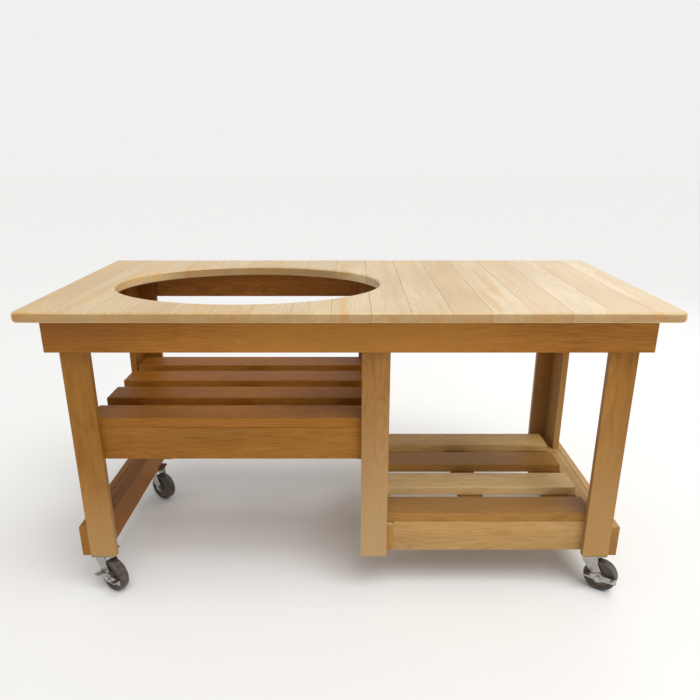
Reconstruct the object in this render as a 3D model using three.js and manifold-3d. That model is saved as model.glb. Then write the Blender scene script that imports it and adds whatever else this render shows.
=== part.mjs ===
import * as THREE from "three";
import { mergeVertices } from "three/addons/utils/BufferGeometryUtils.js";
import Module from "manifold-3d";

const wasm = await Module();
wasm.setup();

// Driving sizes, mm. X runs along the table, the front is at -Y, Z is up
const TOP_WIDTH = 1554;
const TOP_DEPTH = 787.4;
const TABLE_HEIGHT = 800;
const THICK_STOCK = 25.4;
const THIN_STOCK = 19;
const SIDE_RAIL_STOCK = 21;
const FIT_GAP = 0.3;
const JOINT_GAP = 0.1;
const BOARD_CHAMFER = 1.2;
const WELD_DISTANCE = 0.0001;

// Worktop boards and the oval cut-out for the grill body
const TOP_EDGE_ROUND = 8;
const TOP_CORNER_RADIUS = 14;
const FIRST_BOARD_WIDTH = 89;
const LAST_BOARD_WIDTH = 80.5;
const SEAM_COUNT = 16;
const SEAM_GROOVE_WIDTH = 1.6;
const SEAM_GROOVE_DEPTH = 0.9;
const OVAL_LEFT_MARGIN = 137;
const OVAL_FRONT_MARGIN = 90.3;
const OVAL_REAR_MARGIN = 141.1;
const OVAL_PAST_POST = 18;
const OVAL_EDGE_ROUND = 3;
const LEFT_PANEL_BOARD_COUNT = 2;
const RIGHT_PANEL_BOARD_COUNT = 8;

// Skirt, legs and posts
const END_OVERHANG = 47.3;
const SIDE_OVERHANG = 45;
const APRON_HEIGHT = 82;
const LEG_WIDTH = 70;
const LEG_SIDE_WIDTH = 114.3;
const LEG_BOTTOM = 109;
const POST_CENTRE_SHARE = 0.0422;

// Rails, slats and battens
const RAIL_HEIGHT = 88.9;
const GRILL_RAIL_TOP = 482.3;
const STORE_RAIL_TOP = 207.5;
const SIDE_RAIL_TOP = 202;
const SLAT_WIDTH = 95.3;
const SLAT_REAR_GAP = 56.4;
const SLAT_COUNT = 4;
const GRILL_SLAT_END_GAP = 17.3;
const STORE_SLAT_END_GAP = 32.3;
const BATTEN_WIDTH = 70;
const STORE_BATTEN_SHARES = [0.457, 0.904];
const GRILL_BATTEN_SHARES = [0.09, 0.49, 0.89];
const BEARER_CORNER_CUT = 9;

// Casters
const WHEEL_RADIUS = 44.45;
const WHEEL_WIDTH = 30;
const WHEEL_EDGE_ROUND = 5;
const WHEEL_RECESS_RADIUS = 32;
const WHEEL_RECESS_DEPTH = 4;
const HUB_RADIUS = 13;
const HUB_LENGTH = 33;
const AXLE_RADIUS = 4;
const AXLE_CLEARANCE = 0.1;
const AXLE_HEAD_RADIUS = 7.4;
const AXLE_HEAD_LENGTH = 5;
const AXLE_OVERHANG = 1.2;
const CASTER_TRAIL = 28;
const CASTER_YAW_DEG = 55;
const PLATE_SIZE = 60;
const REAR_KING_PIN_INSET = 80.8;
const PLATE_THICKNESS = 3;
const PLATE_CORNER = 6;
const SCREW_SPACING = 44;
const SCREW_HEAD_RADIUS = 4.6;
const SCREW_CROWN_RADIUS = 2.8;
const SCREW_HEAD_HEIGHT = 2.4;
const RACE_RADIUS = 23;
const RACE_HEIGHT = 3.6;
const KING_PIN_RADIUS = 6;
const KING_PIN_HEAD_RADIUS = 9;
const KING_PIN_HEAD_HEIGHT = 2.4;
const KING_PIN_CLEARANCE = 0.1;
const FORK_CROWN_RADIUS = 25;
const FORK_SHEET = 2.6;
const FORK_CHEEK_GAP = 1;
const FORK_FOOT_RADIUS = 11;
const FORK_FOOT_START_DEG = 169;
const FORK_FOOT_END_DEG = 333;
const FORK_FOOT_RISE = 3.7;
const FORK_SHOULDER = 21;
const FORK_DROP_SHARE = 0.3;
const BRAKE_SHEET = 2.4;
const BRAKE_RING_RADIUS = 14;
const BRAKE_LONG_ARM = 49;
const BRAKE_SHORT_ARM = 36;
const BRAKE_ARM_ROOT = 9;
const BRAKE_ARM_TIP = 7;
const BRAKE_PAD_LENGTH = 15;
const BRAKE_PAD_WIDTH = 19;
const BRAKE_BOSS_LENGTH = 3.5;
const BRAKE_GAP = 0.6;
const ROUND_SEGMENTS = 32;
const SMALL_SEGMENTS = 20;
const OVAL_SEGMENTS = 72;
const CORNER_SEGMENTS = 6;
const EDGE_SEGMENTS = 3;
const HEX_SIDES = 6;

// Places worked out from the sizes
const HALF_WIDTH = TOP_WIDTH / 2;
const HALF_DEPTH = TOP_DEPTH / 2;
const TOP_UNDERSIDE = TABLE_HEIGHT - THICK_STOCK;
const APRON_FACE_X = HALF_WIDTH - END_OVERHANG;
const APRON_FACE_Y = HALF_DEPTH - SIDE_OVERHANG;
const LEG_FACE_X = APRON_FACE_X - THICK_STOCK;
const LEG_FACE_Y = APRON_FACE_Y - THICK_STOCK;
const FRAME_FACE_Y = LEG_FACE_Y - THIN_STOCK;
const FRAME_INNER_Y = FRAME_FACE_Y - THIN_STOCK;
const LEG_SIDE_INNER_X = LEG_FACE_X - THIN_STOCK;
const LEG_SIDE_INNER_Y = FRAME_FACE_Y - LEG_SIDE_WIDTH;
const INNER_RAIL_INNER_X = LEG_SIDE_INNER_X - THICK_STOCK;
const POST_CENTRE_X = TOP_WIDTH * POST_CENTRE_SHARE;
const POST_LEFT_X = POST_CENTRE_X - LEG_WIDTH / 2;
const POST_RIGHT_X = POST_CENTRE_X + LEG_WIDTH / 2;
const POST_SIDE_LEFT_X = POST_RIGHT_X - THIN_STOCK;
const BEARER_RIGHT_X = POST_RIGHT_X + THIN_STOCK;
const GRILL_SLAT_END_X = LEG_SIDE_INNER_X - GRILL_SLAT_END_GAP;
const STORE_SLAT_END_X = LEG_SIDE_INNER_X - STORE_SLAT_END_GAP;
const SLAT_PITCH = (2 * FRAME_FACE_Y - SLAT_WIDTH - SLAT_REAR_GAP) / (SLAT_COUNT - 1);
const FIRST_SEAM_X = FIRST_BOARD_WIDTH - HALF_WIDTH;
const SEAM_PITCH = (TOP_WIDTH - FIRST_BOARD_WIDTH - LAST_BOARD_WIDTH) / (SEAM_COUNT - 1);
const OVAL_LEFT_X = OVAL_LEFT_MARGIN - HALF_WIDTH;
const OVAL_RIGHT_X = POST_CENTRE_X + OVAL_PAST_POST;
const OVAL_CENTRE_X = (OVAL_LEFT_X + OVAL_RIGHT_X) / 2;
const OVAL_HALF_WIDTH = (OVAL_RIGHT_X - OVAL_LEFT_X) / 2;
const OVAL_CENTRE_Y = (OVAL_FRONT_MARGIN - OVAL_REAR_MARGIN) / 2;
const OVAL_HALF_DEPTH = HALF_DEPTH - (OVAL_FRONT_MARGIN + OVAL_REAR_MARGIN) / 2;
const KING_PIN_X = LEG_FACE_X - PLATE_SIZE / 2;
const FRONT_KING_PIN_Y = PLATE_SIZE / 2 - LEG_FACE_Y;
const REAR_KING_PIN_Y = LEG_FACE_Y - REAR_KING_PIN_INSET;
const PLATE_TOP = LEG_BOTTOM - JOINT_GAP;
const PLATE_BOTTOM = PLATE_TOP - PLATE_THICKNESS;
const CROWN_TOP = PLATE_BOTTOM - RACE_HEIGHT - FIT_GAP;
const CROWN_BOTTOM = CROWN_TOP - FORK_SHEET;
const AXLE_Z = WHEEL_RADIUS;
const CHEEK_INNER = HUB_LENGTH / 2 + FORK_CHEEK_GAP;
const CHEEK_OUTER = CHEEK_INNER + FORK_SHEET;

// Materials, one for each kind of surface
function woodMaterial(colour) {
  return new THREE.MeshStandardMaterial({ color: colour, roughness: 0.55, metalness: 0 });
}

function metalMaterial(colour, roughness) {
  return new THREE.MeshStandardMaterial({ color: colour, roughness, metalness: 0.9 });
}

const MATERIALS = {
  worktop: () => woodMaterial(0xe3ba7c),
  apron: () => woodMaterial(0xd6a061),
  leg: () => woodMaterial(0xdca968),
  rail: () => woodMaterial(0xd39c5c),
  slat: () => woodMaterial(0xd8a765),
  zinc: () => metalMaterial(0xa9abad, 0.38),
  steel: () => metalMaterial(0x8d8f92, 0.45),
  tread: () => new THREE.MeshStandardMaterial({ color: 0x6f6258, roughness: 0.7, metalness: 0 }),
};

const group = new THREE.Group();
group.name = "kamado_grill_table";

function solidOf(geometry) {
  const bare = geometry.index ? geometry.clone() : geometry;
  bare.deleteAttribute("normal");
  bare.deleteAttribute("uv");
  const welded = mergeVertices(bare, WELD_DISTANCE);
  return new wasm.Manifold(new wasm.Mesh({
    numProp: 3,
    vertProperties: new Float32Array(welded.attributes.position.array),
    triVerts: new Uint32Array(welded.index.array),
  }));
}

function geometryOf(solid) {
  const mesh = solid.getMesh();
  const geometry = new THREE.BufferGeometry();
  const positions = new Float32Array(mesh.numVert * 3);
  for (let i = 0; i < mesh.numVert; i += 1) {
    for (let axis = 0; axis < 3; axis += 1) {
      positions[i * 3 + axis] = mesh.vertProperties[i * mesh.numProp + axis];
    }
  }
  geometry.setAttribute("position", new THREE.BufferAttribute(positions, 3));
  geometry.setIndex(new THREE.BufferAttribute(new Uint32Array(mesh.triVerts), 1));
  geometry.computeVertexNormals();
  return geometry;
}

function addPiece(parent, name, geometry, material) {
  const mesh = new THREE.Mesh(geometry, MATERIALS[material]());
  mesh.name = name;
  parent.add(mesh);
  return mesh;
}

function rectangle(x0, x1, y0, y1) {
  const shape = new THREE.Shape();
  shape.moveTo(x0, y0);
  shape.lineTo(x1, y0);
  shape.lineTo(x1, y1);
  shape.lineTo(x0, y1);
  shape.closePath();
  return shape;
}

// A sawn board with lightly broken edges, given by its low and high corner.
// Half a joint's width is taken off all round, so that two boards that meet never overlap.
function boardGeometry(low, high) {
  const cut = BOARD_CHAMFER;
  const inset = cut + JOINT_GAP;
  const shape = rectangle(low[0] + inset, high[0] - inset, low[1] + inset, high[1] - inset);
  const geometry = new THREE.ExtrudeGeometry(shape, {
    depth: high[2] - low[2] - 2 * inset,
    bevelEnabled: true,
    bevelThickness: cut,
    bevelSize: cut,
    bevelSegments: 1,
    steps: 1,
  });
  geometry.translate(0, 0, low[2] + inset);
  return geometry;
}

function addBoard(name, low, high, material) {
  const centre = low.map((value, axis) => (value + high[axis]) / 2);
  const geometry = boardGeometry(
    low.map((value, axis) => value - centre[axis]),
    high.map((value, axis) => value - centre[axis]),
  );
  const mesh = addPiece(group, name, geometry, material);
  mesh.position.set(...centre);
  return mesh;
}

function cylinderAlongX(radius, length, segments) {
  const geometry = new THREE.CylinderGeometry(radius, radius, length, segments);
  geometry.rotateZ(Math.PI / 2);
  return geometry;
}

function cylinderAlongZ(radius, length, segments) {
  const geometry = new THREE.CylinderGeometry(radius, radius, length, segments);
  geometry.rotateX(Math.PI / 2);
  return geometry;
}

// Outline of the glued slab, drawn in by an inset for its rounded edge
function topOutline(inset) {
  const x = HALF_WIDTH - inset;
  const y = HALF_DEPTH - inset;
  const r = TOP_CORNER_RADIUS - inset / 2;
  const shape = new THREE.Shape();
  shape.moveTo(-x + r, -y);
  shape.lineTo(x - r, -y);
  shape.absarc(x - r, -y + r, r, -Math.PI / 2, 0, false);
  shape.lineTo(x, y - r);
  shape.absarc(x - r, y - r, r, 0, Math.PI / 2, false);
  shape.lineTo(-x + r, y);
  shape.absarc(-x + r, y - r, r, Math.PI / 2, Math.PI, false);
  shape.lineTo(-x, -y + r);
  shape.absarc(-x + r, -y + r, r, -Math.PI, -Math.PI / 2, false);
  return shape;
}

function slabSolid() {
  const geometry = new THREE.ExtrudeGeometry(topOutline(TOP_EDGE_ROUND), {
    depth: THICK_STOCK - 2 * TOP_EDGE_ROUND,
    bevelEnabled: true,
    bevelThickness: TOP_EDGE_ROUND,
    bevelSize: TOP_EDGE_ROUND,
    bevelSegments: EDGE_SEGMENTS,
    curveSegments: CORNER_SEGMENTS,
    steps: 1,
  });
  geometry.translate(0, 0, TOP_UNDERSIDE + TOP_EDGE_ROUND);
  return solidOf(geometry);
}

function ovalPoints(grow) {
  const points = [];
  for (let i = 0; i < OVAL_SEGMENTS; i += 1) {
    const angle = (i / OVAL_SEGMENTS) * 2 * Math.PI;
    points.push(new THREE.Vector2(
      OVAL_CENTRE_X + (OVAL_HALF_WIDTH + grow) * Math.cos(angle),
      OVAL_CENTRE_Y + (OVAL_HALF_DEPTH + grow) * Math.sin(angle),
    ));
  }
  return points;
}

// The plug that leaves the cut-out with a broken upper and lower edge
function ovalPlugSolid() {
  const core = new THREE.ExtrudeGeometry(new THREE.Shape(ovalPoints(0)), {
    depth: 3 * THICK_STOCK,
    bevelEnabled: false,
  });
  core.translate(0, 0, TOP_UNDERSIDE - THICK_STOCK);
  let plug = solidOf(core);
  for (const level of [TABLE_HEIGHT, TOP_UNDERSIDE]) {
    const flare = new THREE.ExtrudeGeometry(new THREE.Shape(ovalPoints(0)), {
      depth: 2 * FIT_GAP,
      bevelEnabled: true,
      bevelThickness: OVAL_EDGE_ROUND,
      bevelSize: OVAL_EDGE_ROUND,
      bevelSegments: 1,
    });
    flare.translate(0, 0, level - FIT_GAP);
    plug = plug.add(solidOf(flare));
  }
  return plug;
}

function seamX(index) {
  return FIRST_SEAM_X + index * SEAM_PITCH;
}

function grooveShape() {
  const half = SEAM_GROOVE_WIDTH / 2;
  const shape = new THREE.Shape();
  shape.moveTo(-half, SEAM_GROOVE_DEPTH);
  shape.lineTo(0, -SEAM_GROOVE_DEPTH);
  shape.lineTo(half, SEAM_GROOVE_DEPTH);
  shape.closePath();
  return shape;
}

// A V groove that runs front to back along an upper face
function grooveAlongY(x, z) {
  const depth = TOP_DEPTH + 2 * THICK_STOCK;
  const along = new THREE.ExtrudeGeometry(grooveShape(), { depth, bevelEnabled: false });
  along.rotateX(Math.PI / 2);
  along.translate(x, depth / 2, z);
  return solidOf(along);
}

// The V groove of one worktop seam, on the upper face and down the two board ends
function seamGrooveSolid(x) {
  let groove = grooveAlongY(x, TABLE_HEIGHT);
  for (const side of [-1, 1]) {
    const down = new THREE.ExtrudeGeometry(grooveShape(), { depth: 2 * THICK_STOCK, bevelEnabled: false });
    down.rotateZ(side < 0 ? Math.PI : 0);
    down.translate(x, side * HALF_DEPTH, TOP_UNDERSIDE - THICK_STOCK / 2);
    groove = groove.add(solidOf(down));
  }
  return groove;
}

function boxSolid(x0, x1, y0, y1, z0, z1) {
  const box = new THREE.BoxGeometry(x1 - x0, y1 - y0, z1 - z0);
  box.translate((x0 + x1) / 2, (y0 + y1) / 2, (z0 + z1) / 2);
  return solidOf(box);
}

function addWorktop() {
  let slab = slabSolid().subtract(ovalPlugSolid());
  for (let i = 0; i < SEAM_COUNT; i += 1) {
    slab = slab.subtract(seamGrooveSolid(seamX(i)));
  }
  const left = seamX(LEFT_PANEL_BOARD_COUNT - 1);
  const right = seamX(SEAM_COUNT - RIGHT_PANEL_BOARD_COUNT);
  const out = TOP_WIDTH;
  const low = TOP_UNDERSIDE - THICK_STOCK;
  const high = TABLE_HEIGHT + THICK_STOCK;
  const gap = FIT_GAP / 2;
  const panels = [
    ["worktop_left_panel", -out, left - gap, -out, out],
    ["worktop_front_strip_panel", left + gap, right - gap, -out, OVAL_CENTRE_Y],
    ["worktop_rear_strip_panel", left + gap, right - gap, OVAL_CENTRE_Y, out],
    ["worktop_right_panel", right + gap, out, -out, out],
  ];
  for (const [name, x0, x1, y0, y1] of panels) {
    addPiece(group, name, geometryOf(slab.intersect(boxSolid(x0, x1, y0, y1, low, high))), "worktop");
  }
}

// Skirt of four aprons under the worktop
function addAprons() {
  const low = TOP_UNDERSIDE - APRON_HEIGHT;
  for (const [name, side] of [["front_apron", -1], ["rear_apron", 1]]) {
    const face = side * APRON_FACE_Y;
    const back = side * LEG_FACE_Y;
    addBoard(name, [-APRON_FACE_X, Math.min(face, back), low],
      [APRON_FACE_X, Math.max(face, back), TOP_UNDERSIDE], "apron");
  }
  for (const [name, side] of [["left_apron", -1], ["right_apron", 1]]) {
    const face = side * APRON_FACE_X;
    const back = side * LEG_FACE_X;
    addBoard(name, [Math.min(face, back), -LEG_FACE_Y, low],
      [Math.max(face, back), LEG_FACE_Y, TOP_UNDERSIDE], "apron");
  }
}

// A leg or post: a face board with a side board standing behind one of its edges
function addLeg(name, x0, x1, sideX0, sideX1, side) {
  const face = side * LEG_FACE_Y;
  const back = side * FRAME_FACE_Y;
  const deep = side * LEG_SIDE_INNER_Y;
  addBoard(`${name}_face_board`, [x0, Math.min(face, back), LEG_BOTTOM],
    [x1, Math.max(face, back), TOP_UNDERSIDE], "leg");
  addBoard(`${name}_side_board`, [sideX0, Math.min(back, deep), LEG_BOTTOM],
    [sideX1, Math.max(back, deep), TOP_UNDERSIDE], "leg");
}

function addLegs() {
  const inner = LEG_FACE_X - LEG_WIDTH;
  for (const [word, side] of [["front", -1], ["rear", 1]]) {
    addLeg(`${word}_left_leg`, -LEG_FACE_X, -inner, -LEG_FACE_X, -LEG_SIDE_INNER_X, side);
    addLeg(`${word}_right_leg`, inner, LEG_FACE_X, LEG_SIDE_INNER_X, LEG_FACE_X, side);
    addLeg(`${word}_middle_post`, POST_LEFT_X, POST_RIGHT_X, POST_SIDE_LEFT_X, POST_RIGHT_X, side);
  }
}

// The inner rail is glued up from two boards: the inner one runs from face board to face board,
// the outer one fills the space between the side boards of the two legs
function innerRailGeometry(side) {
  const inner = side * INNER_RAIL_INNER_X;
  const outer = side * LEG_FACE_X;
  const low = [Math.min(inner, outer), -FRAME_FACE_Y, SIDE_RAIL_TOP - RAIL_HEIGHT];
  const high = [Math.max(inner, outer), FRAME_FACE_Y, SIDE_RAIL_TOP];
  let board = solidOf(boardGeometry(low, high));
  const near = side * (LEG_SIDE_INNER_X - JOINT_GAP);
  const far = side * (LEG_FACE_X + THIN_STOCK);
  for (const end of [-1, 1]) {
    const start = end * (LEG_SIDE_INNER_Y - JOINT_GAP);
    const stop = end * (FRAME_FACE_Y + THIN_STOCK);
    board = board.subtract(boxSolid(Math.min(near, far), Math.max(near, far),
      Math.min(start, stop), Math.max(start, stop), low[2] - THIN_STOCK, high[2] + THIN_STOCK));
  }
  return geometryOf(board.subtract(grooveAlongY(side * LEG_SIDE_INNER_X, SIDE_RAIL_TOP - JOINT_GAP)));
}

function addSideRails() {
  for (const [word, side] of [["left", -1], ["right", 1]]) {
    const near = side * LEG_FACE_X;
    const far = side * (LEG_FACE_X + SIDE_RAIL_STOCK);
    addBoard(`${word}_outer_side_rail`, [Math.min(near, far), -LEG_FACE_Y, SIDE_RAIL_TOP - RAIL_HEIGHT],
      [Math.max(near, far), LEG_FACE_Y, SIDE_RAIL_TOP], "rail");
    addPiece(group, `${word}_inner_side_rail`, innerRailGeometry(side), "rail");
  }
}

// Shelf rails run between the legs behind their face boards
function addRailPair(name, x0, x1, top) {
  for (const [word, side] of [["front", -1], ["rear", 1]]) {
    const a = side * FRAME_FACE_Y;
    const b = side * FRAME_INNER_Y;
    addBoard(`${name}_${word}_rail`, [x0, Math.min(a, b), top - RAIL_HEIGHT],
      [x1, Math.max(a, b), top], "rail");
  }
}

function addSlats(name, x0, x1, railTop) {
  for (let i = 0; i < SLAT_COUNT; i += 1) {
    const y = -FRAME_FACE_Y + i * SLAT_PITCH;
    addBoard(`${name}_slat_${i + 1}`, [x0, y, railTop], [x1, y + SLAT_WIDTH, railTop + THICK_STOCK], "slat");
  }
}

function addBattens(name, x0, x1, shares, railTop) {
  shares.forEach((share, i) => {
    const x = x0 + share * (x1 - x0);
    addBoard(`${name}_batten_${i + 1}`, [x - BATTEN_WIDTH / 2, -FRAME_INNER_Y, railTop - THIN_STOCK],
      [x + BATTEN_WIDTH / 2, FRAME_INNER_Y, railTop], "rail");
  });
}

// The bearer beside the middle posts, its two upper end corners cut off
function addBearer() {
  const low = STORE_RAIL_TOP - RAIL_HEIGHT;
  const high = STORE_RAIL_TOP - JOINT_GAP;
  const end = FRAME_FACE_Y - JOINT_GAP;
  const cut = BEARER_CORNER_CUT;
  const shape = new THREE.Shape();
  shape.moveTo(-end, low);
  shape.lineTo(end, low);
  shape.lineTo(end, high - cut);
  shape.lineTo(end - cut, high);
  shape.lineTo(-end + cut, high);
  shape.lineTo(-end, high - cut);
  shape.closePath();
  const depth = THIN_STOCK - 2 * JOINT_GAP;
  const geometry = new THREE.ExtrudeGeometry(shape, { depth, bevelEnabled: false });
  geometry.rotateX(Math.PI / 2);
  geometry.rotateZ(Math.PI / 2);
  geometry.translate(POST_RIGHT_X + JOINT_GAP, 0, 0);
  addPiece(group, "storage_shelf_left_bearer", geometry, "rail");
}

function addShelves() {
  const postEnd = POST_SIDE_LEFT_X - FIT_GAP;
  addRailPair("grill_shelf", -LEG_SIDE_INNER_X, POST_SIDE_LEFT_X, GRILL_RAIL_TOP);
  addSlats("grill_shelf", -GRILL_SLAT_END_X, postEnd, GRILL_RAIL_TOP);
  addBattens("grill_shelf", -GRILL_SLAT_END_X, postEnd, GRILL_BATTEN_SHARES, GRILL_RAIL_TOP);
  const bearerEnd = POST_RIGHT_X + FIT_GAP;
  addBearer();
  addRailPair("storage_shelf", BEARER_RIGHT_X, INNER_RAIL_INNER_X, STORE_RAIL_TOP);
  addSlats("storage_shelf", bearerEnd, STORE_SLAT_END_X, STORE_RAIL_TOP);
  addBattens("storage_shelf", bearerEnd, STORE_SLAT_END_X, STORE_BATTEN_SHARES, STORE_RAIL_TOP);
}

// Mounting plate with its screw heads, ball race and king pin
function plateGeometry() {
  const half = PLATE_SIZE / 2 - PLATE_CORNER;
  const shape = new THREE.Shape();
  shape.moveTo(-half, -half - PLATE_CORNER);
  shape.absarc(half, -half, PLATE_CORNER, -Math.PI / 2, 0, false);
  shape.absarc(half, half, PLATE_CORNER, 0, Math.PI / 2, false);
  shape.absarc(-half, half, PLATE_CORNER, Math.PI / 2, Math.PI, false);
  shape.absarc(-half, -half, PLATE_CORNER, -Math.PI, -Math.PI / 2, false);
  const sheet = new THREE.ExtrudeGeometry(shape, {
    depth: PLATE_THICKNESS,
    bevelEnabled: false,
    curveSegments: CORNER_SEGMENTS,
  });
  sheet.translate(0, 0, PLATE_BOTTOM);
  let solid = solidOf(sheet);
  const pin = cylinderAlongZ(KING_PIN_RADIUS, PLATE_THICKNESS + RACE_HEIGHT + 2 * FORK_SHEET, SMALL_SEGMENTS);
  pin.translate(0, 0, PLATE_TOP - (PLATE_THICKNESS + RACE_HEIGHT + 2 * FORK_SHEET) / 2);
  const race = cylinderAlongZ(RACE_RADIUS, RACE_HEIGHT, ROUND_SEGMENTS);
  race.translate(0, 0, PLATE_BOTTOM - RACE_HEIGHT / 2);
  const head = cylinderAlongZ(KING_PIN_HEAD_RADIUS, KING_PIN_HEAD_HEIGHT, SMALL_SEGMENTS);
  head.translate(0, 0, CROWN_BOTTOM - FIT_GAP - KING_PIN_HEAD_HEIGHT / 2);
  solid = solid.add(solidOf(pin)).add(solidOf(race)).add(solidOf(head));
  for (const sx of [-1, 1]) {
    for (const sy of [-1, 1]) {
      const screw = new THREE.CylinderGeometry(SCREW_CROWN_RADIUS, SCREW_HEAD_RADIUS,
        SCREW_HEAD_HEIGHT + FIT_GAP, SMALL_SEGMENTS);
      screw.rotateX(-Math.PI / 2);
      screw.translate(sx * SCREW_SPACING / 2, sy * SCREW_SPACING / 2,
        PLATE_BOTTOM - (SCREW_HEAD_HEIGHT - FIT_GAP) / 2);
      solid = solid.add(solidOf(screw));
    }
  }
  return geometryOf(solid);
}

// One cheek of the fork, drawn from the side: wide at the crown, round about the axle
function cheekShape() {
  const drop = CROWN_TOP - AXLE_Z;
  const footStart = THREE.MathUtils.degToRad(FORK_FOOT_START_DEG);
  const footEnd = THREE.MathUtils.degToRad(FORK_FOOT_END_DEG);
  const shape = new THREE.Shape();
  shape.moveTo(FORK_SHOULDER, drop);
  shape.lineTo(-FORK_SHOULDER, drop);
  shape.lineTo(-FORK_SHOULDER, drop * (1 - FORK_DROP_SHARE));
  shape.lineTo(-CASTER_TRAIL - FORK_FOOT_RADIUS, FORK_FOOT_RISE);
  shape.absarc(-CASTER_TRAIL, 0, FORK_FOOT_RADIUS, footStart, footEnd, false);
  shape.lineTo(FORK_SHOULDER, drop * (1 - FORK_DROP_SHARE));
  shape.closePath();
  return shape;
}

function forkGeometry() {
  const crown = cylinderAlongZ(FORK_CROWN_RADIUS, FORK_SHEET, ROUND_SEGMENTS);
  crown.translate(0, 0, CROWN_TOP - FORK_SHEET / 2);
  let solid = solidOf(crown);
  for (const side of [-1, 1]) {
    const cheek = new THREE.ExtrudeGeometry(cheekShape(), {
      depth: FORK_SHEET,
      bevelEnabled: false,
      curveSegments: 2 * CORNER_SEGMENTS,
    });
    cheek.rotateX(Math.PI / 2);
    cheek.rotateZ(Math.PI / 2);
    cheek.translate(side < 0 ? -CHEEK_OUTER : CHEEK_INNER, 0, AXLE_Z);
    solid = solid.add(solidOf(cheek));
  }
  const roof = solidOf(new THREE.BoxGeometry(2 * CHEEK_OUTER, 2 * FORK_SHOULDER, FORK_SHEET)
    .translate(0, 0, CROWN_TOP - FORK_SHEET / 2));
  const pinHole = cylinderAlongZ(KING_PIN_RADIUS + KING_PIN_CLEARANCE, 4 * FORK_SHEET, SMALL_SEGMENTS);
  pinHole.translate(0, 0, CROWN_TOP);
  const axleHole = cylinderAlongX(AXLE_RADIUS + AXLE_CLEARANCE, 4 * CHEEK_OUTER, SMALL_SEGMENTS);
  axleHole.translate(0, -CASTER_TRAIL, AXLE_Z);
  return geometryOf(solid.add(roof).subtract(solidOf(pinHole)).subtract(solidOf(axleHole)));
}

function wheelGeometry() {
  const half = WHEEL_WIDTH / 2;
  const r = WHEEL_EDGE_ROUND;
  const points = [
    [AXLE_RADIUS + AXLE_CLEARANCE, -HUB_LENGTH / 2],
    [HUB_RADIUS, -HUB_LENGTH / 2],
    [HUB_RADIUS + AXLE_CLEARANCE, -half + WHEEL_RECESS_DEPTH],
    [WHEEL_RECESS_RADIUS, -half + WHEEL_RECESS_DEPTH],
    [WHEEL_RECESS_RADIUS + WHEEL_RECESS_DEPTH / 2, -half],
    [WHEEL_RADIUS - r, -half],
    [WHEEL_RADIUS - r / 3, -half + r / 3],
    [WHEEL_RADIUS, -half + r],
  ];
  const mirrored = points.map(([radius, x]) => [radius, -x]).reverse();
  const outline = [...points, ...mirrored, points[0]].map(([radius, x]) => new THREE.Vector2(radius, x));
  const geometry = new THREE.LatheGeometry(outline, 2 * ROUND_SEGMENTS);
  geometry.rotateZ(-Math.PI / 2);
  return geometryOf(solidOf(geometry));
}

// Bolt through both cheeks, its head on one side and its nut on the other
function axleGeometry(nutOverhang) {
  const start = -CHEEK_OUTER - nutOverhang;
  const end = CHEEK_OUTER + AXLE_OVERHANG;
  const shank = cylinderAlongX(AXLE_RADIUS, end - start + AXLE_HEAD_LENGTH, SMALL_SEGMENTS);
  shank.translate((start + end) / 2, 0, 0);
  const head = cylinderAlongX(AXLE_HEAD_RADIUS, AXLE_HEAD_LENGTH, HEX_SIDES);
  head.translate(end + AXLE_HEAD_LENGTH / 2 - FIT_GAP, 0, 0);
  const nut = cylinderAlongX(AXLE_HEAD_RADIUS, AXLE_HEAD_LENGTH, HEX_SIDES);
  nut.translate(start - AXLE_HEAD_LENGTH / 2 + FIT_GAP, 0, 0);
  return geometryOf(solidOf(shank).add(solidOf(head)).add(solidOf(nut)));
}

// Two-winged side lock: press one wing to lock, the other to let go
function brakeGeometry() {
  const ring = cylinderAlongX(BRAKE_RING_RADIUS, BRAKE_BOSS_LENGTH, ROUND_SEGMENTS);
  ring.translate(-BRAKE_BOSS_LENGTH / 2, 0, 0);
  let solid = solidOf(ring);
  for (const [side, length] of [[-1, BRAKE_LONG_ARM], [1, BRAKE_SHORT_ARM]]) {
    const arm = new THREE.Shape();
    arm.moveTo(0, -BRAKE_ARM_ROOT);
    arm.lineTo(length, -BRAKE_ARM_TIP);
    arm.lineTo(length, BRAKE_ARM_TIP);
    arm.lineTo(0, BRAKE_ARM_ROOT);
    arm.closePath();
    const sheet = new THREE.ExtrudeGeometry(arm, { depth: BRAKE_SHEET, bevelEnabled: false });
    sheet.rotateX(Math.PI / 2);
    sheet.rotateZ(side * Math.PI / 2);
    sheet.translate(side < 0 ? 0 : -BRAKE_SHEET, 0, 0);
    const pad = new THREE.BoxGeometry(BRAKE_PAD_WIDTH, BRAKE_PAD_LENGTH, BRAKE_SHEET);
    pad.translate(-BRAKE_PAD_WIDTH / 2, side * (length - BRAKE_PAD_LENGTH / 2), BRAKE_ARM_TIP);
    solid = solid.add(solidOf(sheet)).add(solidOf(pad));
  }
  const hole = cylinderAlongX(AXLE_RADIUS + AXLE_CLEARANCE, 4 * BRAKE_BOSS_LENGTH, SMALL_SEGMENTS);
  return geometryOf(solid.subtract(solidOf(hole)));
}

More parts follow.
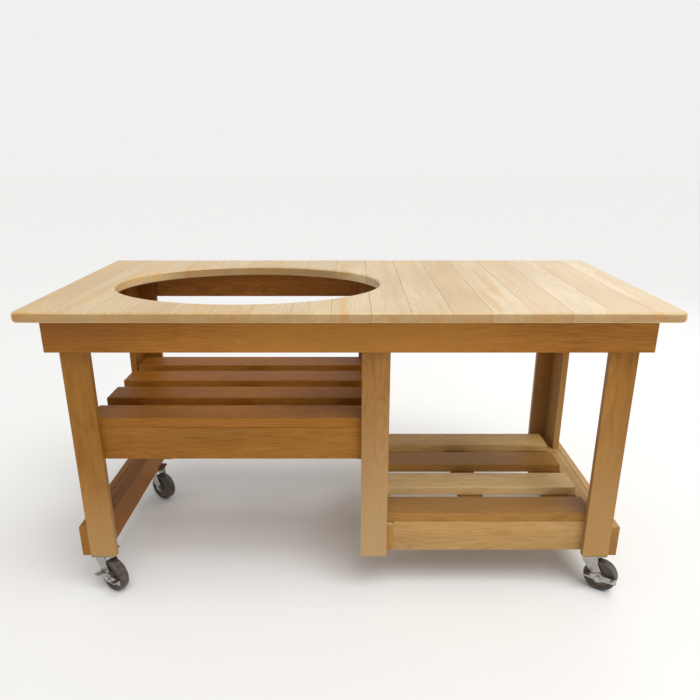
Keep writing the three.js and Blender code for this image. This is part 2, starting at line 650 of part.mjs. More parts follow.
function addCaster(name, x, y, braked) {
  const base = new THREE.Group();
  base.name = `${name}_caster`;
  base.position.set(x, y, 0);
  group.add(base);
  addPiece(base, `${name}_caster_plate`, plateGeometry(), "zinc");
  const swivel = new THREE.Group();
  swivel.name = `${name}_caster_swivel`;
  swivel.rotation.z = THREE.MathUtils.degToRad(CASTER_YAW_DEG);
  base.add(swivel);
  addPiece(swivel, `${name}_caster_fork`, forkGeometry(), "zinc");
  const overhang = braked ? BRAKE_BOSS_LENGTH + 2 * BRAKE_GAP : AXLE_OVERHANG;
  const axle = addPiece(swivel, `${name}_caster_axle_bolt`, axleGeometry(overhang), "steel");
  axle.position.set(0, -CASTER_TRAIL, AXLE_Z);
  const wheel = addPiece(swivel, `${name}_caster_wheel`, wheelGeometry(), "tread");
  wheel.position.set(0, -CASTER_TRAIL, AXLE_Z);
  if (braked) {
    const brake = addPiece(swivel, `${name}_caster_brake_lever`, brakeGeometry(), "zinc");
    brake.position.set(-CHEEK_OUTER - BRAKE_GAP, -CASTER_TRAIL, AXLE_Z);
  }
}

function addCasters() {
  for (const [word, y, braked] of [["front", FRONT_KING_PIN_Y, true], ["rear", REAR_KING_PIN_Y, false]]) {
    addCaster(`${word}_left`, -KING_PIN_X, y, braked);
    addCaster(`${word}_right`, KING_PIN_X, y, braked);
  }
}

addWorktop();
addAprons();
addLegs();
addSideRails();
addShelves();
addCasters();

export default group;
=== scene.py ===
"""Looks for a wooden kamado grill table on swivel casters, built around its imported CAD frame."""

import logging
import math
from dataclasses import dataclass
from enum import Enum

import bpy
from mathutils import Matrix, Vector


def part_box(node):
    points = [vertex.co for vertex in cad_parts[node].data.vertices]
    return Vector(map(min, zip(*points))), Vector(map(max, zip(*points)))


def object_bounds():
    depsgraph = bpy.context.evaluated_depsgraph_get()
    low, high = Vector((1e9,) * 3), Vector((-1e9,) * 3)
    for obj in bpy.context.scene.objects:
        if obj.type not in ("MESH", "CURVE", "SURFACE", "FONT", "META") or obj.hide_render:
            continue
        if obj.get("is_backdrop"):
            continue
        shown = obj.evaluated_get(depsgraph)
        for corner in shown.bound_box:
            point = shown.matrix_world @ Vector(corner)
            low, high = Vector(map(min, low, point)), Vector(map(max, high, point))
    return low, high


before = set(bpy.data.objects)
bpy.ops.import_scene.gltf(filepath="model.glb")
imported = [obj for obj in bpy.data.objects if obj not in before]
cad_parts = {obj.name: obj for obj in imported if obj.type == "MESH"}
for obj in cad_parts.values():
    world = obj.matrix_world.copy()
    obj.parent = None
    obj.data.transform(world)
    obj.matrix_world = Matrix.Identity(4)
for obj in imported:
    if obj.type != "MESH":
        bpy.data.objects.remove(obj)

LOG = logging.getLogger("kamado_grill_table")
Colour = tuple[float, float, float]
Band = tuple[float, float]
Place = tuple[float, float, float]
Socket = bpy.types.NodeSocket
MM = 0.001
NONE_TO_FULL: Band = (0.0, 1.0)
IMAGE_SIDE_PX = 700
KNOT_COLOUR: Colour = (0.13, 0.045, 0.014)


class Lie(Enum):
    """How a board lies: the axes along its grain, across its wide face and through its thickness."""

    FLAT_ALONG_X = ("X", "Y", "Z")
    FLAT_ALONG_Y = ("Y", "X", "Z")
    ON_EDGE_ALONG_X = ("X", "Z", "Y")
    ON_EDGE_ALONG_Y = ("Y", "Z", "X")
    UPRIGHT_FACING_FRONT = ("Z", "X", "Y")
    UPRIGHT_FACING_SIDE = ("Z", "Y", "X")


class Tone(Enum):
    """Pale, honey and late-wood colours of the boards, from the palest to the ripest."""

    BLOND = ((0.72, 0.585, 0.355), (0.62, 0.44, 0.21), (0.46, 0.25, 0.085))
    CREAM = ((0.74, 0.55, 0.28), (0.66, 0.45, 0.2), (0.47, 0.27, 0.1))
    SAND = ((0.64, 0.435, 0.18), (0.54, 0.325, 0.11), (0.38, 0.19, 0.055))
    STRAW = ((0.49, 0.32, 0.13), (0.4, 0.23, 0.078), (0.29, 0.14, 0.038))
    PALE = ((0.375, 0.195, 0.052), (0.305, 0.15, 0.032), (0.2, 0.085, 0.014))
    FAWN = ((0.35, 0.17, 0.047), (0.29, 0.128, 0.028), (0.2, 0.08, 0.012))
    HONEY = ((0.335, 0.152, 0.028), (0.275, 0.116, 0.018), (0.18, 0.07, 0.009))
    AMBER = ((0.385, 0.163, 0.026), (0.31, 0.117, 0.015), (0.185, 0.058, 0.007))
    RUSSET = ((0.33, 0.144, 0.024), (0.265, 0.104, 0.014), (0.17, 0.058, 0.007))
    UMBER = ((0.3, 0.118, 0.013), (0.24, 0.082, 0.007), (0.15, 0.045, 0.004))


class Side(Enum):
    """The four corners of the table that carry a caster."""

    FRONT_LEFT = "front_left"
    FRONT_RIGHT = "front_right"
    REAR_LEFT = "rear_left"
    REAR_RIGHT = "rear_right"

    @property
    def braked(self) -> bool:
        """True for the two front casters, which have a brake lever."""
        return self.value.startswith("front")


@dataclass(frozen=True)
class Cloud:
    """Noise that is alike in every direction: its scale, its octaves and how strong the fine ones are."""

    scale: float
    detail: float = 2.0
    rough: float = 0.5


class Graph:
    """A thin, typed helper that adds and links shader nodes of one material."""

    MIX_COLOURS = (6, 7)
    MIX_RESULT = 2
    EDGE_SAMPLES = 4

    def __init__(self, name: str) -> None:
        """Starts an empty material.

        Args:
            name: The material's name.
        """
        self.material = bpy.data.materials.new(name)
        self.material.use_nodes = True
        self.tree = self.material.node_tree
        self.tree.nodes.clear()

    def node(self, kind: str, **values: object) -> bpy.types.Node:
        """Adds a node and sets its own properties.

        Args:
            kind: Blender's node type name.
            values: Property names and values of that node.

        Returns:
            The new node.
        """
        made = self.tree.nodes.new(kind)
        for key, value in values.items():
            setattr(made, key, value)
        return made

    def feed(self, socket: Socket, value: object) -> None:
        """Links a socket to another, or sets its default.

        Args:
            socket: The input that is fed.
            value: An output socket, or a plain value.
        """
        if isinstance(value, bpy.types.NodeSocket):
            self.tree.links.new(value, socket)
        else:
            socket.default_value = value

    def math(self, operation: str, *inputs: object, clamp: bool = False) -> Socket:
        """Adds a Math node.

        Args:
            operation: The Math node's operation.
            inputs: One to three sockets or numbers.
            clamp: Whether the result is kept between 0 and 1.

        Returns:
            The node's output.
        """
        made = self.node("ShaderNodeMath", operation=operation, use_clamp=clamp)
        for socket, value in zip(made.inputs, inputs):
            self.feed(socket, value)
        return made.outputs[0]

    def scaled(self, value: Socket, factor: float) -> Socket:
        """Multiplies a value by a number."""
        return self.math("MULTIPLY", value, factor)

    def centred(self, value: Socket) -> Socket:
        """Shifts a value that runs from 0 to 1 so that it runs from -0.5 to 0.5."""
        return self.math("SUBTRACT", value, 0.5)

    def vector(self, x: object, y: object, z: object) -> Socket:
        """Joins three numbers into a vector.

        Args:
            x: First part.
            y: Second part.
            z: Third part.

        Returns:
            The vector output.
        """
        made = self.node("ShaderNodeCombineXYZ")
        for socket, value in zip(made.inputs, (x, y, z)):
            self.feed(socket, value)
        return made.outputs[0]

    def split(self, vector: Socket) -> tuple[Socket, Socket, Socket]:
        """Splits a vector into its parts.

        Args:
            vector: The vector to split.

        Returns:
            The X, Y and Z outputs.
        """
        made = self.node("ShaderNodeSeparateXYZ")
        self.feed(made.inputs[0], vector)
        return made.outputs[0], made.outputs[1], made.outputs[2]

    def length(self, vector: Socket) -> Socket:
        """Gives a vector's length."""
        made = self.node("ShaderNodeVectorMath", operation="LENGTH")
        self.feed(made.inputs[0], vector)
        return made.outputs["Value"]

    def noise(self, vector: Socket, cloud: Cloud) -> Socket:
        """Adds a Noise texture.

        Args:
            vector: Its coordinates.
            cloud: Its scale and octaves.

        Returns:
            The noise value, from 0 to 1.
        """
        made = self.node("ShaderNodeTexNoise")
        self.feed(made.inputs["Vector"], vector)
        made.inputs["Scale"].default_value = cloud.scale
        made.inputs["Detail"].default_value = cloud.detail
        made.inputs["Roughness"].default_value = cloud.rough
        return made.outputs[0]

    def cells(self, vector: Socket, scale: float) -> bpy.types.Node:
        """Adds a Voronoi texture.

        Args:
            vector: Its coordinates.
            scale: Its scale.

        Returns:
            The node, whose distance and colour are both of use.
        """
        made = self.node("ShaderNodeTexVoronoi", voronoi_dimensions="3D")
        self.feed(made.inputs["Vector"], vector)
        made.inputs["Scale"].default_value = scale
        return made

    def remap(self, value: Socket, band: Band, target: Band = NONE_TO_FULL) -> Socket:
        """Maps one range of a value smoothly onto another.

        Args:
            value: The value to map.
            band: The start and end of the first range.
            target: What the start and the end become.

        Returns:
            The mapped value, kept inside its range.
        """
        made = self.node("ShaderNodeMapRange", interpolation_type="SMOOTHSTEP")
        for index, number in enumerate((value, *band, *target)):
            self.feed(made.inputs[index], number)
        return made.outputs[0]

    def mix(self, factor: object, first: object, second: object, blend: str = "MIX") -> Socket:
        """Mixes two colours.

        Args:
            factor: How much of the second colour shows.
            first: The colour at factor 0.
            second: The colour at factor 1.
            blend: The blend type.

        Returns:
            The mixed colour.
        """
        made = self.node("ShaderNodeMix", data_type="RGBA", blend_type=blend)
        self.feed(made.inputs[0], factor)
        for index, colour in zip(self.MIX_COLOURS, (first, second)):
            linked = isinstance(colour, bpy.types.NodeSocket)
            self.feed(made.inputs[index], colour if linked else (*colour, 1.0))
        return made.outputs[self.MIX_RESULT]

    def edge_mask(self, radius: float, reach: float) -> Socket:
        """Finds edges that hands and knocks wear, from how far a rounded normal turns.

        Args:
            radius: How wide the worn edge is, in metres.
            reach: How far the normal turns where the wear is full.

        Returns:
            A mask that is 1 on an edge and 0 on a flat face.
        """
        rounded = self.node("ShaderNodeBevel", samples=self.EDGE_SAMPLES)
        rounded.inputs["Radius"].default_value = radius
        plain = self.node("ShaderNodeNewGeometry")
        dot = self.node("ShaderNodeVectorMath", operation="DOT_PRODUCT")
        self.feed(dot.inputs[0], rounded.outputs[0])
        self.feed(dot.inputs[1], plain.outputs["Normal"])
        return self.remap(dot.outputs["Value"], (1.0 - reach, 1.0), (1.0, 0.0))

    def bump(self, height: Socket, strength: float, distance: float) -> Socket:
        """Adds a Bump node.

        Args:
            height: The height that it reads.
            strength: How strong it is.
            distance: The height of 1, in metres.

        Returns:
            The bumped normal.
        """
        made = self.node("ShaderNodeBump")
        made.inputs["Strength"].default_value = strength
        made.inputs["Distance"].default_value = distance
        self.feed(made.inputs["Height"], height)
        return made.outputs[0]

    def finish(
        self,
        colour: Socket,
        roughness: Socket,
        normal: Socket,
        **plain: float,
    ) -> bpy.types.Material:
        """Ends the material in one Principled shader.

        Args:
            colour: Its base colour.
            roughness: Its roughness.
            normal: Its normal.
            plain: Values that are the same all over, by socket name with _ for a space.

        Returns:
            The finished material.
        """
        shader = self.node("ShaderNodeBsdfPrincipled")
        self.feed(shader.inputs["Base Color"], colour)
        self.feed(shader.inputs["Roughness"], roughness)
        self.feed(shader.inputs["Normal"], normal)
        for name, value in plain.items():
            shader.inputs[name.replace("_", " ")].default_value = value
        output = self.node("ShaderNodeOutputMaterial")
        self.tree.links.new(shader.outputs[0], output.inputs[0])
        return self.material


@dataclass(frozen=True)
class Grain:
    """Noise drawn out along the grain: its scales per metre along and across, and its octaves."""

    along: float
    across: float
    detail: float = 2.0
    rough: float = 0.5


@dataclass(frozen=True)
class Spot:
    """A shaded point of one board: its place along the grain, across the face and through the board."""

    run: Socket
    across: Socket
    through: Socket

    def plain(self, g: Graph) -> Socket:
        """Joins the three places into one vector."""
        return g.vector(self.run, self.across, self.through)

    def grain(self, g: Graph, grain: Grain) -> Socket:
        """Adds noise that follows the grain.

        Args:
            g: The graph to add to.
            grain: The noise's scales and octaves.

        Returns:
            The noise value, from 0 to 1.
        """
        stretched = g.vector(
            g.scaled(self.run, grain.along),
            g.scaled(self.across, grain.across),
            g.scaled(self.through, grain.across),
        )
        return g.noise(stretched, Cloud(1.0, grain.detail, grain.rough))


@dataclass(frozen=True)
class BoardStrip:
    """Boards glued side by side along X, with riper ones among them, painted paler board by board towards
    +X as painted light.
    """

    first_seam_x: float
    pitch: float
    ripe_boards: tuple[int, ...]
    ripe_share: float = 0.36
    ripe: Colour = (0.6, 0.37, 0.13)
    even_board: float = 6.5
    # Painted light: each board along +X is painted a little paler, standing for light from that side.
    painted_light_per_board: float = 0.04
    seam: Colour = (0.3, 0.16, 0.055)
    seam_share: float = 0.4
    seam_reach: float = 1.44 * MM
    first_seed: float = 101.5
    index_tolerance: float = 0.4

    def step(self, g: Graph, x: Socket) -> Socket:
        """Counts the boards along X from the first seam."""
        return g.math("DIVIDE", g.math("SUBTRACT", x, self.first_seam_x), self.pitch)

    def seed(self, g: Graph, step: Socket) -> Socket:
        """Gives every board a seed of its own."""
        return g.math("ADD", g.math("FLOOR", step), self.first_seed)

    def across(self, g: Graph, step: Socket) -> Socket:
        """Gives the place across one board from its middle, in metres."""
        return g.scaled(g.centred(g.math("FRACT", step)), self.pitch)

    def darkening(self, g: Graph, step: Socket) -> Socket:
        """Gives the painted light: how much darker a board is painted than the even one, paler towards +X
        as if lit from that side.
        """
        return g.scaled(g.math("SUBTRACT", self.even_board, g.math("FLOOR", step)), self.painted_light_per_board)

    def ripe_mask(self, g: Graph, step: Socket) -> Socket:
        """Finds the boards that are cut from riper, more golden wood.

        Args:
            g: The graph to add to.
            step: The place along X, counted in boards from the first seam.

        Returns:
            A mask that is part of the way to 1 all over a riper board.
        """
        index = g.math("FLOOR", step)
        found: object = 0.0
        for board in self.ripe_boards:
            same = g.math("COMPARE", index, float(board), self.index_tolerance)
            found = g.math("ADD", found, same)
        return g.scaled(found, self.ripe_share)

    def seam_mask(self, g: Graph, step: Socket) -> Socket:
        """Finds the glue seams between boards.

        Args:
            g: The graph to add to.
            step: The place along X, counted in boards from the first seam.

        Returns:
            A mask that is strongest on a seam.
        """
        off_centre = g.math("ABSOLUTE", g.centred(g.math("FRACT", step)))
        return g.remap(off_centre, (0.5 - self.seam_reach / self.pitch, 0.5), (0.0, self.seam_share))


@dataclass(frozen=True)
class Mark:
    """A knot, plug or streak that the eye picks out, or a broad patch of painted light or shade: its
    middle, half sizes and colour.
    """

    centre: Place
    half: Place
    colour: Colour
    strength: float
    ragged: Cloud = Cloud(160.0)
    ragged_share: float = 0.5
    fade: Band = (0.6, 1.25)

    def mask(self, g: Graph, parts: dict[str, Socket]) -> Socket:
        """Finds the mark.

        Args:
            g: The graph to add to.
            parts: The place along each axis.

        Returns:
            A mask that is the mark's strength in its middle and fades at its rim.
        """
        offsets = []
        for axis, centre, half in zip("XYZ", self.centre, self.half):
            offsets.append(g.math("DIVIDE", g.math("SUBTRACT", parts[axis], centre), half))
        ragged = g.noise(g.vector(parts["X"], parts["Y"], parts["Z"]), self.ragged)
        reach = g.math("ADD", g.length(g.vector(*offsets)), g.scaled(ragged, self.ragged_share))
        return g.remap(reach, self.fade, (self.strength, 0.0))


@dataclass(frozen=True)
class Knots:
    """A few small knots, and how they push the growth rings aside. Shares are of a knot's radius."""

    colour: Colour = KNOT_COLOUR
    radius: float = 5.5 * MM
    per_metre: float = 4.2
    strength: float = 0.9
    core_share: float = 0.55
    ragged: Cloud = Cloud(260.0)
    ragged_share: float = 0.6
    shove: float = 11 * MM
    shove_reach_share: float = 5.5

    def scatter(self, g: Graph, spot: Spot) -> tuple[Socket, Socket]:
        """Scatters the knots.

        Args:
            g: The graph to add to.
            spot: The shaded point.

        Returns:
            The knots' mask, and how far they push the rings aside, in metres.
        """
        radius = self.radius * self.per_metre
        near = g.cells(spot.plain(g), self.per_metre).outputs["Distance"]
        ragged = g.centred(g.noise(spot.plain(g), self.ragged))
        near = g.math("ADD", near, g.scaled(ragged, self.ragged_share * radius))
        mask = g.remap(near, (self.core_share * radius, radius), (self.strength, 0.0))
        return mask, g.remap(near, (0.0, self.shove_reach_share * radius), (self.shove, 0.0))


@dataclass(frozen=True)
class Rings:
    """Growth rings about a pith that lies behind the board, swayed and unevenly crowded."""

    width: float = 5.2 * MM
    pith_spread: float = 0.11
    pith_depth: float = 0.03
    pith_depth_spread: float = 0.09
    sway: Grain = Grain(2.3, 5.0)
    sway_reach: float = 28 * MM
    lean: Grain = Grain(2.8, 4.0, detail=1.0)
    lean_reach: float = 75 * MM
    crowding: Grain = Grain(3.0, 30.0)
    crowding_rings: float = 0.9
    darkening: Band = (0.35, 0.9)
    ending: Band = (0.92, 1.0)

    def darkness(self, g: Graph, spot: Spot, pith: tuple[Socket, Socket], shove: Socket) -> Socket:
        """Draws the rings as distance from the pith.

        Args:
            g: The graph to add to.
            spot: The shaded point.
            pith: Two chance numbers that place the pith.
            shove: How far knots push the rings aside, in metres.

        Returns:
            The rings' darkness, from 0 to 1.
        """
        side = g.math("ADD", spot.across, g.scaled(g.centred(pith[0]), self.pith_spread))
        side = g.math("ADD", side, g.scaled(g.centred(spot.grain(g, self.sway)), self.sway_reach))
        depth = g.math("ADD", self.pith_depth, g.scaled(pith[1], self.pith_depth_spread))
        deep = g.math("ADD", spot.through, depth)
        deep = g.math("ADD", deep, g.scaled(g.centred(spot.grain(g, self.lean)), self.lean_reach))
        squares = g.math("ADD", g.math("MULTIPLY", side, side), g.math("MULTIPLY", deep, deep))
        reach = g.math("ADD", g.math("SQRT", squares), shove)
        crowded = g.scaled(spot.grain(g, self.crowding), self.crowding_rings)
        phase = g.math("FRACT", g.math("ADD", g.math("DIVIDE", reach, self.width), crowded))
        return g.math("MULTIPLY", g.remap(phase, self.darkening), g.remap(phase, self.ending, (1.0, 0.0)))


@dataclass(frozen=True)
class WoodFinish:
    """Oiled softwood: growth rings, fibres, colour drift, small knots and worn edges, and on some boards
    painted floor light towards the bottom.
    """

    name: str
    tone: Tone
    end_grain: Colour = (0.68, 0.54, 0.34)
    end_grain_band: Band = (0.6, 0.95)
    end_grain_share: float = 0.8
    streak: Colour = (0.66, 0.38, 0.09)
    streak_grain: Grain = Grain(1.6, 24.0)
    streak_band: Band = (0.53, 0.68)
    streak_share: float = 0.0
    shade_grain: Grain = Grain(2.2, 7.0)
    shade_share: float = 0.22
    # Painted light: a paler colour mixed in towards the bottom, standing for light bounced off the floor;
    # higher up the board stays darker, as painted shade under the worktop.
    painted_floor_light: Colour = (0.402, 0.236, 0.088)
    painted_floor_light_share: float = 0.0
    foot_bottom: float = 0.1
    foot_top: float = 0.68
    rings: Rings = Rings()
    ring_share: float = 0.25
    ring_relief: float = 0.5
    fibre_grain: Grain = Grain(15.0, 170.0, detail=5.0, rough=0.72)
    fibre_band: Band = (0.42, 0.78)
    fibre_share: float = 0.8
    fibre_relief: float = 0.8
    drift_grain: Grain = Grain(1.7, 17.0, detail=3.0, rough=0.55)
    drift_share: float = 0.75
    even_band: Band = (0.3, 0.7)
    board_share: float = 0.5
    figure_spread: float = 37.0
    knots: Knots = Knots()
    knot_relief: float = 0.6
    wear_width: float = 1.4 * MM
    wear_reach: float = 0.12
    wear_share: float = 0.3
    wear_roughness: float = 0.08
    least_roughness: float = 0.38
    sheen_grain: Grain = Grain(3.0, 60.0)
    sheen_roughness: float = 0.16
    bump_strength: float = 0.35
    relief: float = 0.25 * MM
    specular: float = 0.14
    coat: float = 0.0
    coat_roughness: float = 0.3

    def material(
        self,
        seed: int,
        lie: Lie,
        centre: Vector,
        strip: BoardStrip | None = None,
        marks: tuple[Mark, ...] = (),
    ) -> bpy.types.Material:
        """Builds the wood of one board, or of several glued boards.

        Args:
            seed: Makes this board's figure differ from the next one's.
            lie: How the board lies.
            centre: The middle of the board, in metres.
            strip: The glued boards, where the piece holds several.
            marks: Knots, plugs, streaks and patches of painted light and shade at known places.

        Returns:
            The material.
        """
        g = Graph(f"{self.name}_{seed:02d}")
        place = g.node("ShaderNodeTexCoord")
        parts = dict(zip("XYZ", g.split(place.outputs["Object"])))
        step = strip.step(g, parts["X"]) if strip else None
        white = g.node("ShaderNodeTexWhiteNoise", noise_dimensions="1D")
        g.feed(white.inputs["W"], strip.seed(g, step) if strip else seed + 0.5)
        shift, *pith_and_tone = g.split(white.outputs["Color"])
        spot = self._spot(g, parts, lie, centre, shift)
        if strip:
            spot = Spot(spot.run, strip.across(g, step), spot.through)
        knots, shove = self.knots.scatter(g, spot)
        rings = self.rings.darkness(g, spot, tuple(pith_and_tone), shove)
        fibre = spot.grain(g, self.fibre_grain)
        worn = g.edge_mask(self.wear_width, self.wear_reach)
        colour = self._board_colour(g, spot, pith_and_tone[1], strip, step)
        colour = self._figure(g, spot, colour, rings, fibre)
        # Painted light: the colour turns paler towards the bottom, as if lit by the floor.
        if self.painted_floor_light_share:
            painted_floor_light = g.remap(parts["Z"], (self.foot_bottom, self.foot_top), (self.painted_floor_light_share, 0.0))
            colour = g.mix(painted_floor_light, colour, self.painted_floor_light)
        colour = g.mix(self._end_mask(g, place, lie), colour, self.end_grain, "MULTIPLY")
        colour = g.mix(knots, colour, self.knots.colour)
        for mark in marks:
            colour = g.mix(mark.mask(g, parts), colour, mark.colour)
        colour = g.mix(g.scaled(worn, self.wear_share), colour, self.tone.value[0])
        if strip:
            colour = g.mix(strip.seam_mask(g, step), colour, strip.seam)
        sheen = g.scaled(spot.grain(g, self.sheen_grain), self.sheen_roughness)
        roughness = g.math("ADD", sheen, self.least_roughness)
        roughness = g.math("ADD", roughness, g.scaled(worn, self.wear_roughness))
        height = g.math("ADD", g.scaled(rings, self.ring_relief), g.scaled(fibre, self.fibre_relief))
        height = g.math("SUBTRACT", height, g.scaled(knots, self.knot_relief))
        return g.finish(
            colour,
            roughness,
            g.bump(height, self.bump_strength, self.relief),
            Specular_IOR_Level=self.specular,
            Coat_Weight=self.coat,
            Coat_Roughness=self.coat_roughness,
        )

    def _spot(self, g: Graph, parts: dict[str, Socket], lie: Lie, centre: Vector, shift: Socket) -> Spot:
        """Turns a place on the table into a place in the board.

        Args:
            g: The graph to add to.
            parts: The place along each axis.
            lie: How the board lies.
            centre: The middle of the board, in metres.
            shift: A chance number that cuts each board from another stretch of the figure.

        Returns:
            The shaded point of the board.
        """
        middle_place = dict(zip("XYZ", centre))
        along, across, through = lie.value
        return Spot(
            g.math("ADD", parts[along], g.scaled(shift, self.figure_spread)),
            g.math("SUBTRACT", parts[across], middle_place[across]),
            g.math("SUBTRACT", parts[through], middle_place[through]),
        )

    def _board_colour(
        self, g: Graph, spot: Spot, chance: Socket, strip: BoardStrip | None, step: Socket | None
    ) -> Socket:
        """Gives a board its own tone, with drift along it, in some woods golden streaks, and on glued
        boards a painted light slope.

        Args:
            g: The graph to add to.
            spot: The shaded point.
            chance: The board's own chance number.
            strip: The glued boards, if any.
            step: The place along X, counted in boards, if the piece holds several.

        Returns:
            The colour before rings and fibres.
        """
        pale, honey, _ = self.tone.value
        drift = g.remap(spot.grain(g, self.drift_grain), self.even_band, (0.0, self.drift_share))
        share = g.scaled(chance, self.board_share)
        if strip:
            # Painted light: the glued boards are painted paler towards +X.
            share = g.math("ADD", share, strip.darkening(g, step), clamp=True)
        colour = g.mix(share, g.mix(drift, pale, honey), honey)
        if self.streak_share:
            streaks = g.remap(spot.grain(g, self.streak_grain), self.streak_band, (0.0, self.streak_share))
            colour = g.mix(streaks, colour, self.streak)
        if strip:
            colour = g.mix(strip.ripe_mask(g, step), colour, strip.ripe)
        return colour

    def _figure(self, g: Graph, spot: Spot, colour: Socket, rings: Socket, fibre: Socket) -> Socket:
        """Draws the rings and fibres into the wood and lets it shade slowly along the board.

        Args:
            g: The graph to add to.
            spot: The shaded point.
            colour: The board's own colour.
            rings: The rings' darkness.
            fibre: The fibre noise.

        Returns:
            The figured colour.
        """
        late = self.tone.value[2]
        colour = g.mix(g.scaled(rings, self.ring_share), colour, late)
        colour = g.mix(g.remap(fibre, self.fibre_band, (0.0, self.fibre_share)), colour, late)
        levels = (1.0 - self.shade_share / 2, 1.0 + self.shade_share / 2)
        level = g.remap(spot.grain(g, self.shade_grain), self.even_band, levels)
        return g.mix(1.0, colour, level, "MULTIPLY")

    def _end_mask(self, g: Graph, place: bpy.types.Node, lie: Lie) -> Socket:
        """Finds the sawn ends, which drink more oil and look darker.

        Args:
            g: The graph to add to.
            place: The texture coordinates.
            lie: How the board lies.

        Returns:
            A mask that is strongest on the sawn ends.
        """
        normal = dict(zip("XYZ", g.split(place.outputs["Normal"])))[lie.value[0]]
        return g.remap(g.math("ABSOLUTE", normal), self.end_grain_band, (0.0, self.end_grain_share))


WORKTOP_WOOD = WoodFinish(
    "worktop_wood",
    Tone.BLOND,
    end_grain=(0.5, 0.37, 0.21),
    streak_share=0.65,
    shade_share=0.1,
    ring_share=0.2,
    fibre_share=0.4,
    board_share=0.45,
    least_roughness=0.32,
    specular=0.5,
    coat=0.2,
)
STRAW_WOOD = WoodFinish("straw_wood", Tone.STRAW)
PALE_WOOD = WoodFinish("pale_wood", Tone.PALE)
HONEY_WOOD = WoodFinish("honey_wood", Tone.HONEY, end_grain=(0.85, 0.8, 0.7))
SAND_WOOD = WoodFinish("sand_wood", Tone.SAND)
CREAM_WOOD = WoodFinish("cream_wood", Tone.CREAM)
# Painted light on the posts and legs: paler towards the bottom. The front left and rear left legs turn
# paler only below a lower height, so they stay darker higher up, as painted shade.
POST_WOOD = WoodFinish("post_wood", Tone.FAWN, painted_floor_light=(0.452, 0.3, 0.144), painted_floor_light_share=0.8)
LEG_WOOD = WoodFinish("leg_wood", Tone.HONEY, painted_floor_light_share=0.8)
LEFT_LEG_WOOD = WoodFinish("left_leg_wood", Tone.HONEY, painted_floor_light_share=0.85, foot_top=0.42)
# Painted shade: the rear left leg takes the darkest tone, standing for a shadow across it.
SHADED_REAR_LEG_WOOD = WoodFinish("shaded_rear_leg_wood", Tone.UMBER, painted_floor_light_share=0.5, foot_top=0.42)
AMBER_WOOD = WoodFinish("amber_wood", Tone.AMBER, ring_share=0.31)
RUSSET_WOOD = WoodFinish("russet_wood", Tone.RUSSET, ring_share=0.28)
# Painted shade: the darkest tone, given to the grill shelf's rear slats and the left inner rail to stand
# for the shade on them.
SHADED_UMBER_WOOD = WoodFinish("shaded_umber_wood", Tone.UMBER, ring_share=0.26)


@dataclass(frozen=True)
class MetalFinish:
    """Zinc-plated or plain steel sheet with a faint spangle, smears, grime and bright worn edges."""

    name: str
    bright: Colour
    dull: Colour
    edge: Colour = (0.82, 0.82, 0.8)
    grime: Colour = (0.2, 0.17, 0.14)
    grime_cloud: Cloud = Cloud(16.0, 3.0, 0.6)
    grime_band: Band = (0.5, 0.8)
    grime_share: float = 0.35
    spangle_scale: float = 240.0
    spangle_share: float = 0.35
    spangle_roughness: float = 0.05
    smear_cloud: Cloud = Cloud(55.0, 4.0, 0.6)
    smear_share: float = 0.5
    smear_roughness: float = 0.26
    scratch_cloud: Cloud = Cloud(900.0)
    wear_width: float = 0.7 * MM
    wear_reach: float = 0.2
    wear_share: float = 0.6
    least_roughness: float = 0.2
    bump_strength: float = 0.2
    relief: float = 0.08 * MM

    def material(self) -> bpy.types.Material:
        """Builds the metal.

        Returns:
            The material.
        """
        g = Graph(self.name)
        place = g.node("ShaderNodeTexCoord").outputs["Object"]
        flake, _, _ = g.split(g.cells(place, self.spangle_scale).outputs["Color"])
        smear = g.noise(place, self.smear_cloud)
        grime = g.noise(place, self.grime_cloud)
        scratch = g.noise(place, self.scratch_cloud)
        tone = g.math("ADD", g.scaled(flake, self.spangle_share), g.scaled(smear, self.smear_share))
        colour = g.mix(tone, self.bright, self.dull)
        colour = g.mix(g.remap(grime, self.grime_band, (0.0, self.grime_share)), colour, self.grime)
        worn = g.scaled(g.edge_mask(self.wear_width, self.wear_reach), self.wear_share)
        colour = g.mix(worn, colour, self.edge)
        roughness = g.math("ADD", g.scaled(smear, self.smear_roughness), self.least_roughness)
        roughness = g.math("ADD", roughness, g.scaled(flake, self.spangle_roughness))
        normal = g.bump(g.math("ADD", scratch, smear), self.bump_strength, self.relief)
        return g.finish(colour, roughness, normal, Metallic=1.0)


